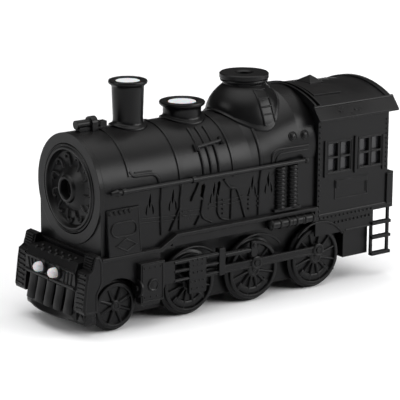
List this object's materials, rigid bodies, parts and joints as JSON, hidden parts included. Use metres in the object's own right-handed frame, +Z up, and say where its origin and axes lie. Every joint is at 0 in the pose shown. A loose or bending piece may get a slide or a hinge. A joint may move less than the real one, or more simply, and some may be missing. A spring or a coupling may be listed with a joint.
{
  "type": "locomotive-shaped aroma diffuser",
  "caption": "Black moulded steam locomotive shaped aroma mist diffuser with flame slots, lift-off dome, chimney push buttons, coupled spoked drivers and cab.",
  "frame": {"origin": "centre of the bounding box on the plane the wheels stand on", "axes": "+X towards the front of the engine, +Y to the engine's left side, +Z up"},
  "size_m": [0.2465, 0.0786, 0.1445],
  "materials": {
    "body_black": "satin black moulded plastic",
    "chassis_black": "satin black moulded plastic",
    "wheel_black": "satin black moulded plastic",
    "button_white": "pale translucent plastic",
    "lamp_clear": "milky clear lamp lens",
    "pane_black": "smoked dark panes",
    "steel": "plain steel",
    "tank_clear": "natural plastic tank",
    "seal_rubber": "silicone rubber",
    "piezo_brass": "brass disc",
    "board_green": "circuit board",
    "fan_black": "black plastic",
    "flame_amber": "dark smoked diffuser, unlit",
    "socket_black": "black plastic with a steel pin"
  },
  "bodies": {
    "engine": {"ash_pan": "chassis_black", "base_plate": "chassis_black", "boiler_shell": "body_black", "button_collar": "body_black", "cab_roof": "body_black", "cab_shell": "body_black", "cab_steps_left": "chassis_black", "cab_steps_right": "chassis_black", "cab_windows_left": "pane_black", "cab_windows_right": "pane_black", "case_screws": "steel", "chassis_frame": "chassis_black", "chimney": "body_black", "control_board": "board_green", "cowcatcher": "body_black", "cylinder_left": "chassis_black", "cylinder_right": "chassis_black", "dome_seal": "seal_rubber", "fan_frame": "fan_black", "flame_panel_left": "flame_amber", "flame_panel_right": "flame_amber", "front_beam": "body_black", "handrail_left": "body_black", "handrail_right": "body_black", "headlamps": "lamp_clear", "led_strips": "board_green", "motion_bracket_left": "chassis_black", "motion_bracket_right": "chassis_black", "piezo_disc": "piezo_brass", "piezo_holder": "seal_rubber", "power_socket": "socket_black", "reservoir_left": "body_black", "reservoir_right": "body_black", "roof_vent": "body_black", "side_panel_left": "body_black", "side_panel_right": "body_black", "slide_bars_left": "chassis_black", "slide_bars_right": "chassis_black", "smokebox_door": "body_black", "smokebox_front": "body_black", "top_whistle": "body_black", "water_tank": "tank_clear"},
    "pilot_wheelset": {"pilot_axle": "steel", "pilot_wheels": "wheel_black"},
    "front_drivers": {"driver_axle_front": "steel", "driver_wheels_front": "wheel_black"},
    "middle_drivers": {"driver_axle_middle": "steel", "driver_wheels_middle": "wheel_black"},
    "rear_drivers": {"driver_axle_rear": "steel", "driver_wheels_rear": "wheel_black"},
    "left_rod": {"side_rod_left": "chassis_black"},
    "right_rod": {"side_rod_right": "chassis_black"},
    "mist_key": {"mist_button": "button_white", "mist_button_spring": "steel"},
    "light_key": {"light_button": "button_white", "light_button_spring": "steel"},
    "dome": {"mist_dome": "body_black", "nozzle_disc": "body_black"},
    "fan": {"fan_rotor": "fan_black"}
  },
  "joints": [
    {"name": "middle_drivers_turn", "type": "hinge", "parent": "engine", "child": "middle_drivers", "pos_m": [-0.0122, 0, 0.0206], "axis": [0, 1, 0], "continuous": true},
    {"name": "front_drivers_turn", "type": "hinge", "parent": "engine", "child": "front_drivers", "pos_m": [0.0374, 0, 0.0206], "axis": [0, 1, 0], "continuous": true},
    {"name": "rear_drivers_turn", "type": "hinge", "parent": "engine", "child": "rear_drivers", "pos_m": [-0.0618, 0, 0.0206], "axis": [0, 1, 0], "continuous": true},
    {"name": "pilot_wheels_turn", "type": "hinge", "parent": "engine", "child": "pilot_wheelset", "pos_m": [0.0918, 0, 0.016], "axis": [0, 1, 0], "continuous": true},
    {"name": "left_rod_pin", "type": "hinge", "parent": "middle_drivers", "child": "left_rod", "pos_m": [-0.0122, 0.0326, 0.0256], "axis": [0, 1, 0], "continuous": true},
    {"name": "right_rod_pin", "type": "hinge", "parent": "middle_drivers", "child": "right_rod", "pos_m": [-0.0122, -0.0326, 0.0256], "axis": [0, 1, 0], "continuous": true},
    {"name": "mist_button_press", "type": "slide", "parent": "engine", "child": "mist_key", "axis": [0, 0, 1], "range_m": [-0.001, 0], "stiffness_N_per_m": 300, "springref_m": 0.0015, "deforming": ["mist_button_spring"]},
    {"name": "light_button_press", "type": "slide", "parent": "engine", "child": "light_key", "axis": [0, 0, 1], "range_m": [-0.001, 0], "stiffness_N_per_m": 300, "springref_m": 0.0015, "deforming": ["light_button_spring"]},
    {"name": "dome_lift", "type": "slide", "parent": "engine", "child": "dome", "axis": [0, 0, 1], "range_m": [0, 0.045]},
    {"name": "fan_spin", "type": "hinge", "parent": "engine", "child": "fan", "pos_m": [0.034, 0, 0.059], "axis": [0, 0, 1], "continuous": true}
  ],
  "couplings": [
    {"joint": "front_drivers_turn", "follows": "middle_drivers_turn", "ratio": 1},
    {"joint": "rear_drivers_turn", "follows": "middle_drivers_turn", "ratio": 1},
    {"joint": "left_rod_pin", "follows": "middle_drivers_turn", "ratio": -1},
    {"joint": "right_rod_pin", "follows": "middle_drivers_turn", "ratio": -1}
  ]
}
